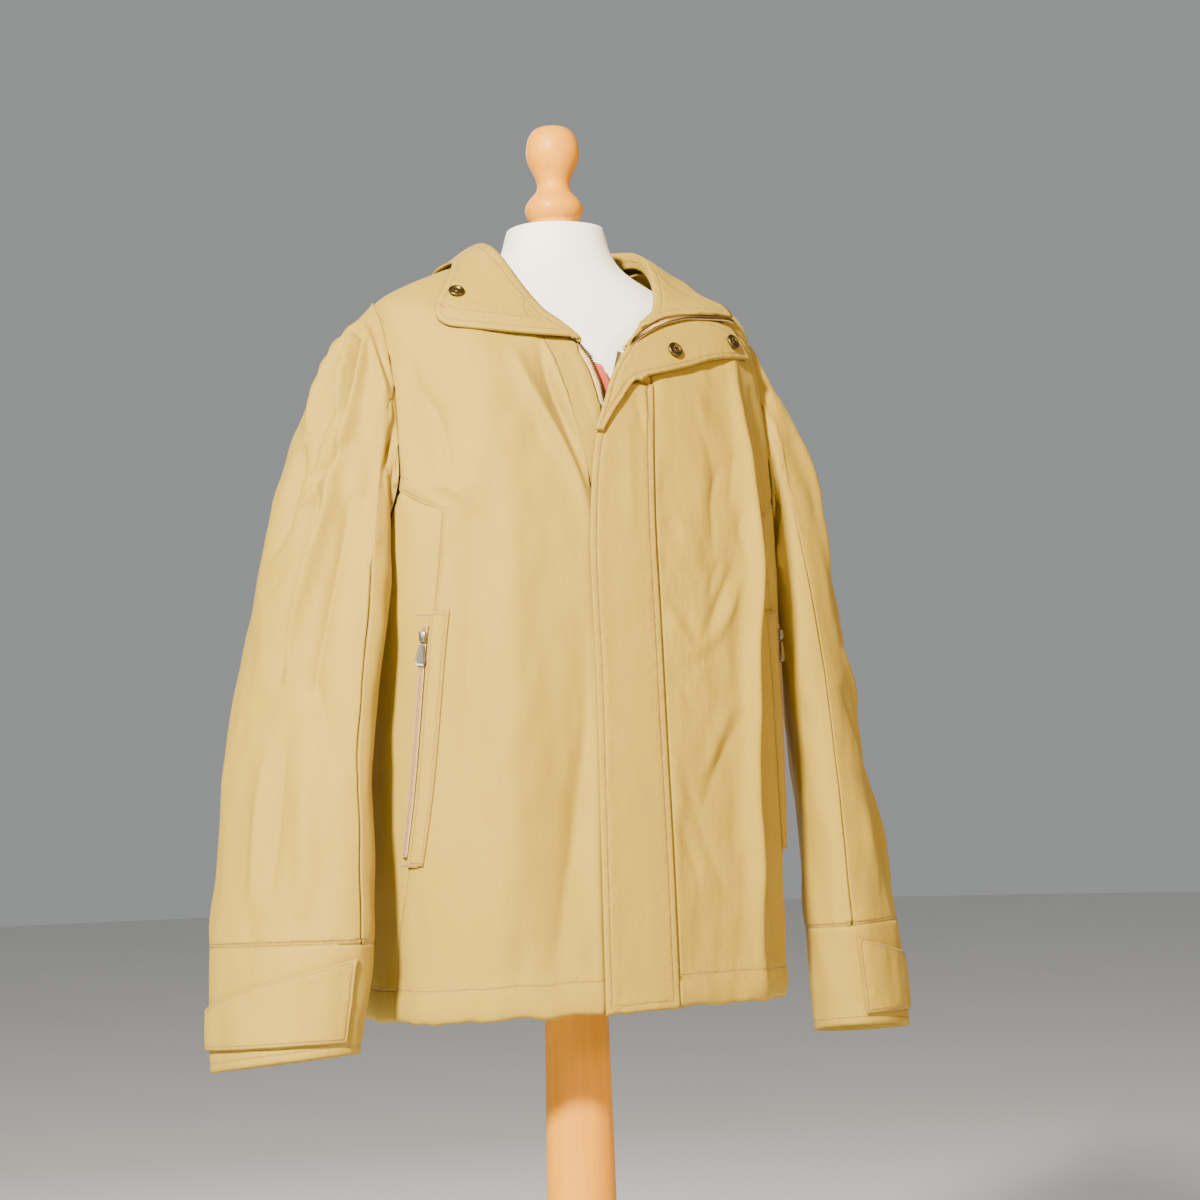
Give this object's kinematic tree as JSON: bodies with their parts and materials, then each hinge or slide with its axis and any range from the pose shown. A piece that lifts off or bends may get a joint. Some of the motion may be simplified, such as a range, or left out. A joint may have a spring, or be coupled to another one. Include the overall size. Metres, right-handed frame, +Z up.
{
  "type": "windbreaker on a dress form",
  "caption": "Padded hip-length windbreaker with a turned-out collar and storm flap, worn on a limbless dress form on a turned wooden stand.",
  "frame": {"origin": "on the floor under the stand's axis, in the middle of the base's underside", "axes": "+Z up along the stand's axis, the jacket faces -Y, its left side is at +X"},
  "size_m": [0.7514, 0.4, 1.6725],
  "materials": {
    "shell_twill": "padded khaki microfibre twill, slight sheen",
    "coral_lining": "thin woven coral lining",
    "form_jersey": "cream jersey stretched over the form",
    "turned_wood": "clear varnish",
    "antique_brass": "darkened",
    "coil_zip": "tan nylon coil",
    "puller_metal": "dull grey plating"
  },
  "bodies": {
    "root": {"back": "shell_twill", "front_right": "shell_twill", "side_right": "shell_twill", "front_band_right": "shell_twill", "sleeve_top_right": "shell_twill", "sleeve_under_right": "shell_twill", "cuff_right": "shell_twill", "cuff_tab_right": "shell_twill", "pocket_welt_right": "shell_twill", "front_left": "shell_twill", "side_left": "shell_twill", "front_band_left": "shell_twill", "sleeve_top_left": "shell_twill", "sleeve_under_left": "shell_twill", "cuff_left": "shell_twill", "cuff_tab_left": "shell_twill", "pocket_welt_left": "shell_twill", "collar": "shell_twill", "storm_flap": "shell_twill", "storm_flap_top": "shell_twill", "placket_lining": "coral_lining", "dress_form": "form_jersey", "base": "turned_wood", "post": "turned_wood", "finial": "turned_wood", "zip_right": "antique_brass", "zip_left": "antique_brass", "main_slider": "antique_brass", "snap_collar": "antique_brass", "snap_flap_inner": "antique_brass", "snap_flap_outer": "antique_brass", "pocket_zip_right": "coil_zip", "pocket_slider_right": "puller_metal", "pocket_zip_left": "coil_zip", "pocket_slider_left": "puller_metal"},
    "pull_tab_right": {"pull_tab_right": "puller_metal"},
    "pull_tab_left": {"pull_tab_left": "puller_metal"}
  },
  "joints": [
    {"name": "pull_tab_right_lift", "type": "hinge", "parent": "root", "child": "pull_tab_right", "pos_m": [-0.19289, -0.09574, 1.14319], "axis": [-0.7076, 0.696, 0.1216], "range_deg": [0, 115]},
    {"name": "pull_tab_left_lift", "type": "hinge", "parent": "root", "child": "pull_tab_left", "pos_m": [0.19289, -0.09574, 1.14319], "axis": [-0.7076, -0.696, -0.1216], "range_deg": [0, 115]}
  ]
}
